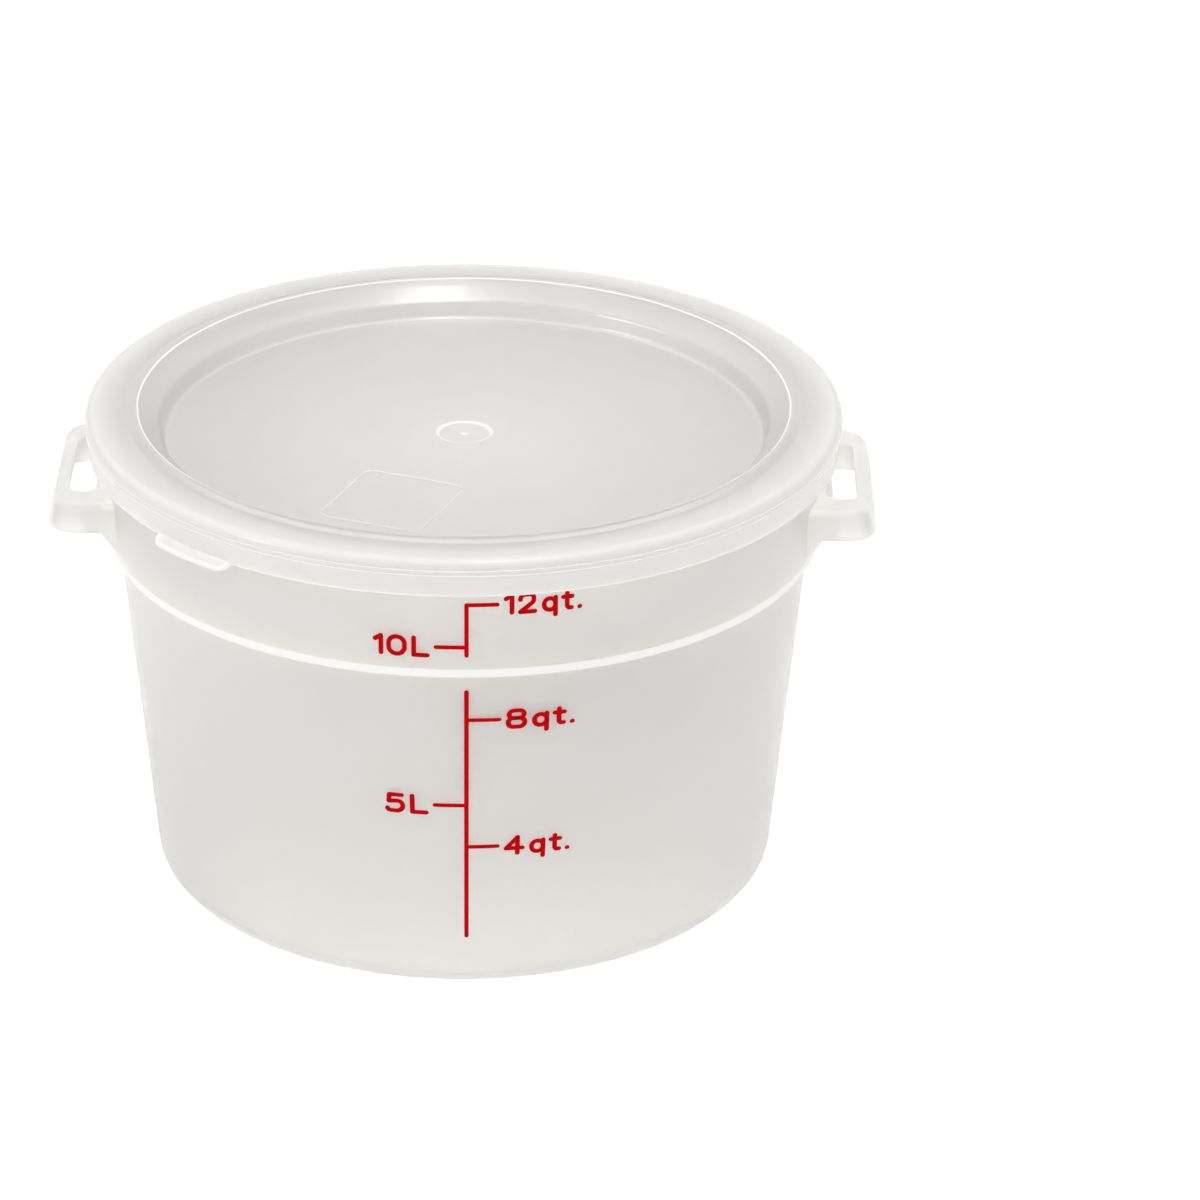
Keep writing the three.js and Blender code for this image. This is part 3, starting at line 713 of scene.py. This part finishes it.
def make_handle(tub, handle, lid):
    """One loop handle on +X, open through the middle for the fingers and hollow under each arm."""
    top = skirt_bottom(tub, lid) - handle.drop
    bottom = top - handle.height
    wall = upper_outer(tub, top)
    reach = wall + handle.reach
    half = handle.half_length
    finger_half = half - handle.arm
    bar_inside = reach - handle.grip
    finger_inside = wall + handle.finger_pad
    wall_at_end = sqrt(upper_outer(tub, bottom) ** 2 - half ** 2)
    root = wall_at_end - handle.edge - OVERRUN

    def flared(outline, z):
        out = (top - z) * tan(handle.flare)
        return [(point.x + out, point.y, z) for point in outline]

    def outside(inset, z):
        outline = box_outline(root, reach - inset, inset - half, half - inset, handle.corner - inset)
        return flared(outline, z)

    def finger_hole(growth, z):
        outline = box_outline(
            finger_inside - growth, bar_inside + growth, -finger_half - growth, finger_half + growth,
            handle.finger_corner + growth)
        return flared(outline, z)

    # Each rounding is a quarter turn: shares of its radius, first far from and then along the next face.
    quarter = [(1 - sin(angle), 1 - cos(angle)) for angle in quarter_turns()]
    low = handle.lower_edge
    high = handle.edge
    inner = handle.finger_edge
    loops = [outside(low * away, bottom + low * risen) for away, risen in quarter]
    loops += [outside(high * risen, top - high * away) for away, risen in quarter]
    loops += [finger_hole(inner * away, top - inner * risen) for away, risen in quarter]
    loops += [finger_hole(inner * risen, bottom + inner * away) for away, risen in quarter]
    block = loft("handle", loops, endless=True)

    for side in (RIGHT, LEFT):
        near = side * (finger_half + handle.arm_wall)
        far = side * (half - handle.arm_wall)
        outline = box_outline(
            wall, reach - handle.arm_wall, min(near, far), max(near, far), handle.corner / 2)
        hollow = loft("hollow", [flared(outline, bottom - OVERRUN), flared(outline, top - handle.arm_wall)])
        combine(block, "DIFFERENCE", hollow)
        rib = [
            (root, bottom + handle.arm_wall),
            (root, bottom - handle.gusset_drop),
            (wall_at_end, bottom - handle.gusset_drop),
            (wall_at_end + handle.gusset_reach, bottom),
            (wall_at_end + handle.gusset_reach, bottom + handle.arm_wall),
        ]
        first = half if side == RIGHT else handle.gusset_thickness - half
        second = first - handle.gusset_thickness
        gusset = loft("gusset", [[(x, y, z) for x, z in rib] for y in (first, second)])
        combine(block, "UNION", gusset)
    return block


def tub_milkiness_and_glow(tub, place, middle):
    """The lip and the handles are thick to look through, and the wall is thin. The step is painted white,
    partly as the thick ledge and partly as a painted glow of light gathered along it.
    """
    # The step is painted white: the thick ledge, with a painted glow band above it.
    if tub.lower_height - tub.step_rounding < place.z < step_band_top(tub) + HOLD / 2:
        return MILKY_STEP_AND_GLOW
    if place.z > rim_top(tub) - tub.lip_height - HOLD / 2:
        return MILKY_LIP
    if middle.z > tub.lower_height and middle.xy.length > upper_outer(tub, middle.z) + HOLD:
        return MILKY_HANDLE
    if place.z < tub.base_corner / 2:
        return MILKY_BASE
    return MILKY_WALL


class CONTAINER_OT_tub(bpy.types.Operator):
    """Mould the tub with its stepped wall, rim and two loop handles"""
    bl_idname = "container.make_tub"
    bl_label = "Tub"

    def execute(self, context):
        scene = context.scene
        tub = scene.container_tub
        tint = scene.container_finishes.tub_tint
        plastic = polypropylene(
            "frosted moulded polypropylene", tint, roughness=0.31, clearest=0.97, skin=0.0)
        piece = turned("tub_moulding", tub_profile(tub), tub.segments, plastic)
        for angle in (0, pi):
            handle = make_handle(tub, scene.container_handle, scene.container_lid)
            combine(handle, "DIFFERENCE", turned("bore", bore_profile(tub), tub.segments, plastic))
            handle.data.transform(Matrix.Rotation(angle, 4, "Z"))
            combine(piece, "UNION", handle)
        mark_milkiness_and_glow(piece, lambda place, middle: tub_milkiness_and_glow(tub, place, middle))
        seat(piece, plastic, "tub_body", "tub_plastic", "tub")
        return {"FINISHED"}


# The lid


def lid_profile(tub, lid):
    seat_z = seat_height(tub, lid)
    bottom = skirt_bottom(tub, lid)
    slope = tan(lid.skirt_draft)

    def inner_skirt(z):
        return skirt_inner(tub, lid) + (z - bottom) * slope

    def outer_skirt(z):
        return inner_skirt(z) + lid.wall

    def ridge(height):
        return [
            (outer_skirt(height - lid.ridge_size), height - lid.ridge_size),
            (outer_skirt(height) + lid.ridge_size, height, lid.ridge_size / 2),
            (outer_skirt(height + lid.ridge_size), height + lid.ridge_size),
        ]

    top = seat_z + lid.wall
    crest_top = top + lid.crest_height
    crest_radius = rim_inner(tub) - lid.crest_inset
    crest_inside = crest_radius - lid.crest_width / 2
    crest_outside = crest_radius + lid.crest_width / 2
    panel = panel_top(tub, lid)
    shoulder = (crest_inside - lid.shoulder_width, crest_top - lid.shoulder_drop)
    panel_edge = (shoulder[0] - lid.recess_wall, panel)
    slope_at_rim = (crest_inside - lid.crest_height * lid.shoulder_width / lid.shoulder_drop, top)
    dish_floor = panel - lid.dish_depth
    nub_top = dish_floor + lid.nub_height
    lip_foot = seat_z - tub.lip_height - lid.clearance
    bead_foot = lip_foot - lid.bead_height
    upper_ridge = top - lid.rim_edge - lid.ridge_gap
    thick = lid.recess_rounding + lid.wall
    return rounded([
        (0, panel - lid.wall),
        (*other_face((0, panel), panel_edge, shoulder, lid.wall), thick),
        (*other_face(panel_edge, shoulder, slope_at_rim, lid.wall), lid.recess_rounding),
        (*other_face(shoulder, slope_at_rim, (crest_outside, top), lid.wall), lid.recess_rounding),
        (inner_skirt(seat_z), seat_z, lid.rim_edge - lid.wall),
        (inner_skirt(lip_foot), lip_foot),
        (skirt_inner(tub, lid) - lid.bead, (lip_foot + bead_foot) / 2, lid.bead),
        (inner_skirt(bead_foot), bead_foot),
        (skirt_inner(tub, lid), bottom, lid.skirt_edge),
        (outer_skirt(bottom), bottom, lid.skirt_edge),
        *ridge(upper_ridge - lid.ridge_spacing),
        *ridge(upper_ridge),
        (outer_skirt(top), top, lid.rim_edge),
        (crest_outside + lid.crest_flank, top, lid.recess_rounding),
        (crest_outside, crest_top, lid.crest_rounding),
        (crest_inside, crest_top, lid.crest_rounding),
        (*shoulder, thick),
        (*panel_edge, lid.recess_rounding),
        (lid.dish_radius, panel, lid.dish_flank),
        (lid.dish_radius - lid.dish_flank, dish_floor, lid.dish_flank),
        (lid.nub_radius, dish_floor, lid.nub_flank / 2),
        (lid.nub_radius - lid.nub_flank, nub_top, lid.nub_flank / 2),
        (0, nub_top),
    ])


def tab_reach(tub, lid):
    return skirt_inner(tub, lid) + lid.wall + lid.tab_reach


def tab_tip(tub, lid, along):
    """Radius of the tab's edge, this far from the tab's middle along the skirt."""
    past = max(0.0, abs(along) - lid.tab_length / 2 + lid.tab_corner)
    return tab_reach(tub, lid) - lid.tab_corner + sqrt(max(0.0, lid.tab_corner ** 2 - past ** 2))


def make_tab(tub, lid):
    """A thin drooping lip with a rounded edge, whose ends curve back into the skirt."""
    root = skirt_inner(tub, lid) + lid.wall / 2
    bottom = skirt_bottom(tub, lid)
    thickness = lid.tab_thickness
    steps = ceil(lid.tab_length / (WRAP_STEP / 2))
    loops = []
    for step in range(steps + 1):
        along = lid.tab_length * (1 / 2 - step / steps)
        tip = tab_tip(tub, lid, along)
        plate = root + TAB_PLATE * (tip - root)
        angle = lid.tab_azimuth + along / tab_reach(tub, lid)
        section = rounded([
            (root, bottom),
            (plate, bottom),
            (tip, bottom, TAB_ROUNDING * thickness),
            (tip, bottom + thickness, TAB_ROUNDING * thickness),
            (plate, bottom + thickness),
            (root, bottom + thickness),
        ], closed=True)
        loops.append([
            (point.x * cos(angle), point.x * sin(angle), point.y - (point.x - root) * tan(lid.tab_droop))
            for point in section
        ])
    return loft("tab", loops)


def make_field(tub, lid):
    """The raised outline of the bare label field, with a softly rounded line."""
    panel = panel_top(tub, lid)
    place = Matrix.Translation((lid.field_x, lid.field_y, 0)) @ Matrix.Rotation(lid.field_turn, 4, "Z")

    def loop(inset, z):
        half_x = lid.field_width / 2 - inset
        half_y = lid.field_length / 2 - inset
        outline = box_outline(-half_x, half_x, -half_y, half_y, lid.field_corner - inset)
        return [place @ Vector((point.x, point.y, z)) for point in outline]

    top = panel + lid.field_height
    foot = panel - lid.wall / 2
    brow = lid.field_line / 4
    outer = loft("field", [loop(0, foot), loop(0, panel), loop(brow, top)])
    inner = loft("field_inside", [
        loop(lid.field_line, foot - OVERRUN), loop(lid.field_line, panel),
        loop(lid.field_line - brow, top), loop(lid.field_line - 2 * brow, top + lid.field_height),
    ])
    return combine(outer, "DIFFERENCE", inner)


def lid_milkiness_and_glow(tub, lid, place):
    """The skirt is thick to look through and the panel is thin. The edges and the raised lines are partly
    thick and partly painted near white as painted glow, and the gate dish and nub carry a painted highlight.
    """
    radius = place.xy.length
    crest_inside = rim_inner(tub) - lid.crest_inset - lid.crest_width / 2
    panel_edge = crest_inside - lid.shoulder_width - lid.recess_wall
    bottom = skirt_bottom(tub, lid)
    skirt_outer = skirt_inner(tub, lid) + lid.wall + (place.z - bottom) * tan(lid.skirt_draft)
    if radius > skirt_inner(tub, lid) - lid.bead - HOLD:
        if place.z < bottom - HOLD / 2:
            along = (atan2(place.y, place.x) - lid.tab_azimuth) * tab_reach(tub, lid)
            # The tab's edge is painted bright as a painted glow outline.
            outline = tab_tip(tub, lid, along) - TAB_OUTLINE * lid.tab_thickness
            return MILKY_TAB_OUTLINE_AND_GLOW if radius > outline else MILKY_TAB
        # The skirt's lower edge and its ridges are painted near white as painted glow lines.
        if place.z < bottom + lid.skirt_edge + HOLD / 2:
            return MILKY_SKIRT_LINE_AND_GLOW
        return MILKY_SKIRT_LINE_AND_GLOW if radius > skirt_outer + lid.ridge_size / 4 else MILKY_SKIRT
    # The crest is painted near white, a painted glow line along its rounding.
    if abs(radius - crest_inside) < lid.crest_rounding / 2 and place.z > seat_height(tub, lid) + lid.wall:
        return MILKY_CREST_AND_GLOW
    if radius > panel_edge - RECESS_FOOT * lid.recess_rounding:
        return MILKY_RIM
    # The raised field line is painted near white as a painted glow line.
    if place.z > panel_top(tub, lid) + lid.field_height / 2:
        return MILKY_FIELD_AND_GLOW
    # The gate dish and nub are painted paler as a painted highlight.
    if lid.dish_radius - lid.dish_flank - HOLD < radius < lid.dish_radius + HOLD:
        return MILKY_DISH_AND_HIGHLIGHT
    if radius < lid.nub_radius + HOLD:
        return MILKY_NUB_AND_HIGHLIGHT
    return MILKY_PANEL


class CONTAINER_OT_lid(bpy.types.Operator):
    """Mould the lid with its recessed panel, skirt, pull tab and raised label field"""
    bl_idname = "container.make_lid"
    bl_label = "Lid"

    def execute(self, context):
        scene = context.scene
        tub = scene.container_tub
        lid = scene.container_lid
        tint = scene.container_finishes.lid_tint
        plastic = polypropylene(
            "satin moulded polypropylene", tint, roughness=0.3, clearest=0.97, skin=0.6)
        piece = turned("lid_moulding", lid_profile(tub, lid), tub.segments, plastic)
        combine(piece, "UNION", make_tab(tub, lid), make_field(tub, lid))
        mark_milkiness_and_glow(piece, lambda place, middle: lid_milkiness_and_glow(tub, lid, place))
        seat(piece, plastic, "lid_body", "lid_plastic", "lid")
        return {"FINISHED"}


# The printed scale

# Each figure has a width and its strokes, in parts of which seven make a figure's height.
# A stroke is (closed, corners), and a sharp corner ends one stroke and starts the next.
LINE = False
LOOP = True
FIGURES = {
    "0": (5.9, [(LOOP, [(0, 0, 2.8), (5.9, 0, 2.8), (5.9, 7, 2.8), (0, 7, 2.8)])]),
    "1": (2.2, [(LINE, [(0, 5.6), (2.2, 7)]), (LINE, [(2.2, 7), (2.2, 0)])]),
    "2": (5.6, [
        (LINE, [(0.2, 5), (0.2, 7, 2.3), (5.2, 7, 2.4), (5.2, 4, 2), (0.2, 0)]),
        (LINE, [(0.2, 0), (5.6, 0)]),
    ]),
    "4": (6, [(LINE, [(4.2, 0), (4.2, 7)]), (LINE, [(4.2, 7), (0, 2.2)]), (LINE, [(0, 2.2), (6, 2.2)])]),
    "5": (5.6, [
        (LINE, [(5.2, 7), (0.8, 7)]),
        (LINE, [(0.8, 7), (0.5, 4.1)]),
        (LINE, [(0.5, 4.1), (5.6, 4.6, 2.2), (5.6, 0, 2.3), (0, 0, 1.8), (0, 1)]),
    ]),
    "8": (5.8, [
        (LOOP, [(0, 0, 1.9), (5.8, 0, 1.9), (5.8, 3.8, 1.9), (0, 3.8, 1.9)]),
        (LOOP, [(0.3, 3.8, 1.6), (5.5, 3.8, 1.6), (5.5, 7, 1.6), (0.3, 7, 1.6)]),
    ]),
    "L": (5, [(LINE, [(0, 7), (0, 0)]), (LINE, [(0, 0), (5, 0)])]),
    "q": (4.3, [
        (LOOP, [(0, 0, 2.2), (4.3, 0, 2.2), (4.3, 4.6, 2.2), (0, 4.6, 2.2)]),
        (LINE, [(4.3, 4.9), (4.3, -2.1)]),
    ]),
    "t": (3.4, [(LINE, [(1.5, 6.2), (1.5, 0, 1.2), (3.2, 0)]), (LINE, [(0, 4.6), (3.4, 4.6)])]),
    ".": (0.1, [(LINE, [(0, 0), (0.1, 0)])]),
}
FIGURE_PARTS = 7


def inside_radius(tub, z):
    """Inside radius of the tub at a height, with its rounded floor corner."""
    if z > ledge_top(tub):
        return upper_outer(tub, z) - tub.wall
    corner = tub.base_corner - tub.wall
    below = min(corner, max(0.0, corner - (z - tub.floor)))
    return lower_outer(tub, z) - tub.wall - (corner - sqrt(corner ** 2 - below ** 2))


def fill_height(tub, volume):
    """Height to which a volume fills the tub."""
    z = tub.floor
    filled = 0.0
    while filled < volume and z < rim_top(tub):
        filled += pi * inside_radius(tub, z + VOLUME_STEP / 2) ** 2 * VOLUME_STEP
        z += VOLUME_STEP
    return z


def label_strokes(scale, text, side, height):
    """The strokes of a label beside the tip of a tick, as (closed, points)."""
    part = scale.figure_height / FIGURE_PARTS
    stroke = scale.figure_stroke
    placed = []
    x = 0.0
    for character in text:
        if character == " ":
            x += scale.word_gap
            continue
        width, strokes = FIGURES[character]
        placed.append((x + stroke / 2, strokes))
        x += width * part + stroke + scale.figure_gap
    length = x - scale.figure_gap
    tip = scale.line_width / 2 + scale.tick_length + scale.label_gap
    start = tip if side == RIGHT else -tip - length
    foot = height - scale.figure_height / 2
    return [
        (closed, [Vector((start + at, foot)) + point * part for point in rounded(corners, closed)])
        for at, strokes in placed
        for closed, corners in strokes
    ]


def stroke_mesh(name, strokes):
    """A drawing of strokes in X and Z, split finely enough to be wrapped round the wall."""
    points = []
    edges = []
    for closed, path in strokes:
        first = len(points)
        sides = list(zip(path, path[1:] + path[:1] if closed else path[1:]))
        for start, end in sides:
            pieces = max(1, ceil((end - start).length / WRAP_STEP))
            points += [start.lerp(end, step / pieces) for step in range(pieces)]
        if not closed:
            points.append(path[-1])
        edges += [(at, at + 1) for at in range(first, len(points) - 1)]
        if closed:
            edges.append((len(points) - 1, first))
    mesh = bpy.data.meshes.new(name)
    mesh.from_pydata([(point.x, 0.0, point.y) for point in points], edges, [])
    return mesh


def print_line(name, tub, scale, start, end, wall, slope, ink):
    """One printed line with its ticks and labels, on a wall of this radius at the bench and this slope."""
    half = scale.line_width / 2
    lines = [(LINE, [Vector((0, start + half)), Vector((0, end - half))])]
    labels = []
    for text, volume, side in MARKS:
        height = fill_height(tub, volume)
        if start < height - half / 2 and height + half / 2 < end:
            tip = side * (scale.tick_length + half / 2)
            lines.append((LINE, [Vector((0, height)), Vector((tip, height))]))
            labels += label_strokes(scale, text, side, height)
    values = {
        "Ink Thickness": scale.ink,
        "Wall Radius": wall + scale.ink / 4,
        "Wall Slope": slope,
        "Wrap Radius": wall + slope * start,
        "Azimuth": scale.azimuth,
        "Ink": ink,
    }
    tree = printing_tree()
    line_values = {**values, "Stroke Width": scale.line_width}
    figure_values = {**values, "Stroke Width": scale.figure_stroke}
    piece = grow(name, stroke_mesh(name, lines), tree, line_values)
    figures = grow("labels", stroke_mesh("labels", labels), tree, figure_values)
    form = bmesh.new()
    form.from_mesh(piece.data)
    form.from_mesh(figures.data)
    form.to_mesh(piece.data)
    form.free()
    bpy.data.objects.remove(figures)
    return piece


class CONTAINER_OT_scale(bpy.types.Operator):
    """Print the two lines of the measuring scale with their ticks and labels"""
    bl_idname = "container.print_scale"
    bl_label = "Printed scale"

    def execute(self, context):
        scene = context.scene
        tub = scene.container_tub
        scale = scene.container_scale
        ink = screen_ink("red screen-printing ink", scene.container_finishes.ink_red)
        start = tub.lower_height + scale.upper_gap
        end = start + scale.upper_length
        slope = tan(tub.upper_draft)
        wall = step_radius(tub) - tub.lower_height * slope
        upper = print_line("printed_scale_upper", tub, scale, start, end, wall, slope, ink)
        seat(upper, ink, "tub_body", "scale_ink", "scale_upper")
        start = scale.lower_start
        end = tub.lower_height - scale.lower_gap
        slope = tan(tub.lower_draft)
        wall = tub.base_radius
        lower = print_line("printed_scale_lower", tub, scale, start, end, wall, slope, ink)
        seat(lower, ink, "tub_body", "scale_ink", "scale_lower")
        return {"FINISHED"}


# The studio

FLOOR_RADIUS = 20.0
FLOOR_SIDES = 96
FLOOR_BOTTOM = -0.02
FLOOR_TOP = -0.0002                 # just under the tub, so that the two surfaces don't coincide
WORLD_STRENGTH = 0.74
LIGHTS_TARGET = (0.0, 0.0, 0.12)

# Each softbox has a name, a place, a width and a power in watts.
SOFTBOXES = (
    ("softbox_over", (0.0, 0.5, 2.4), 3.0, 23.0),
    ("softbox_high", (0.25, -0.75, 2.3), 0.5, 8.0),
    ("softbox_left", (-1.9, -1.0, 1.3), 0.4, 7.0),
    ("softbox_right", (1.9, -1.0, 1.3), 0.4, 1.5),
)

# The camera stands round the object and above it, and is then turned from its middle to frame it.
CAMERA_AZIMUTH = radians(1.5)
CAMERA_ELEVATION = radians(23.6)
CAMERA_DISTANCE = 2.462
CAMERA_AIM = (0.0, 0.0, 0.193)
CAMERA_TURN_RIGHT = radians(1.345)
CAMERA_TURN_DOWN = radians(1.596)
CAMERA_LENS = 173.2                 # millimetres, for a sensor of the width below
CAMERA_SENSOR = 36


class CONTAINER_OT_stage(bpy.types.Operator):
    """Set up the white floor, the soft lights and the camera"""
    bl_idname = "container.set_stage"
    bl_label = "Studio"

    def execute(self, context):
        scene = context.scene
        angles = [tau * step / FLOOR_SIDES for step in range(FLOOR_SIDES)]
        floor = loft("studio_floor", [
            [(FLOOR_RADIUS * cos(angle), FLOOR_RADIUS * sin(angle), z) for angle in angles]
            for z in (FLOOR_BOTTOM, FLOOR_TOP)
        ])
        floor.data.materials.append(paper("matt white paper", scene.container_finishes.floor_white))

        world = bpy.data.worlds.new("white studio")
        world.use_nodes = True
        background = world.node_tree.nodes["Background"]
        background.inputs["Color"].default_value = (1.0, 1.0, 1.0, 1.0)
        background.inputs["Strength"].default_value = WORLD_STRENGTH
        scene.world = world

        for name, place, width, power in SOFTBOXES:
            light = bpy.data.lights.new(name, "AREA")
            light.shape = "SQUARE"
            light.size = width
            light.energy = power
            lamp = new_object(name, light)
            lamp.location = place
            away = lamp.location - Vector(LIGHTS_TARGET)
            lamp.rotation_euler = away.to_track_quat("Z", "Y").to_euler()

        level = cos(CAMERA_ELEVATION)
        back = Vector((sin(CAMERA_AZIMUTH) * level, -cos(CAMERA_AZIMUTH) * level, sin(CAMERA_ELEVATION)))
        lens = bpy.data.cameras.new("camera")
        lens.sensor_width = CAMERA_SENSOR
        lens.lens = CAMERA_LENS
        camera = new_object("camera", lens)
        stand = Matrix.Translation(Vector(CAMERA_AIM) + back * CAMERA_DISTANCE)
        look = back.to_track_quat("Z", "Y").to_matrix().to_4x4()
        turned_right = Matrix.Rotation(-CAMERA_TURN_RIGHT, 4, "Y")
        turned_down = Matrix.Rotation(-CAMERA_TURN_DOWN, 4, "X")
        camera.matrix_world = stand @ look @ turned_right @ turned_down
        scene.camera = camera

        scene.view_settings.view_transform = "Standard"
        scene.cycles.use_denoising = True
        scene.cycles.max_bounces = 32
        scene.cycles.transmission_bounces = 24
        scene.cycles.diffuse_bounces = 12
        scene.cycles.glossy_bounces = 6
        return {"FINISHED"}


class CONTAINER_PT_panel(bpy.types.Panel):
    """The container's pieces and sizes"""
    bl_idname = "CONTAINER_PT_panel"
    bl_label = "Food storage container"
    bl_space_type = "VIEW_3D"
    bl_region_type = "UI"
    bl_category = "Container"

    def draw(self, context):
        for operator in OPERATORS:
            self.layout.operator(operator.bl_idname)
        for name in GROUPS:
            group = getattr(context.scene, name)
            box = self.layout.box()
            for prop in group.bl_rna.properties:
                if prop.identifier not in ("rna_type", "name"):
                    box.prop(group, prop.identifier)


GROUPS = {
    "container_tub": TubSizes,
    "container_handle": HandleSizes,
    "container_lid": LidSizes,
    "container_scale": ScaleSizes,
    "container_finishes": Finishes,
}
OPERATORS = (CONTAINER_OT_tub, CONTAINER_OT_lid, CONTAINER_OT_scale, CONTAINER_OT_stage)


def register():
    for name, group in GROUPS.items():
        bpy.utils.register_class(group)
        setattr(bpy.types.Scene, name, PointerProperty(type=group))
    for operator in OPERATORS:
        bpy.utils.register_class(operator)
    bpy.utils.register_class(CONTAINER_PT_panel)


def unregister():
    bpy.utils.unregister_class(CONTAINER_PT_panel)
    for operator in reversed(OPERATORS):
        bpy.utils.unregister_class(operator)
    for name, group in GROUPS.items():
        delattr(bpy.types.Scene, name)
        bpy.utils.unregister_class(group)


def main():
    register()
    bpy.ops.container.make_tub()
    bpy.ops.container.make_lid()
    bpy.ops.container.print_scale()
    bpy.ops.container.set_stage()


if __name__ == "__main__":
    main()
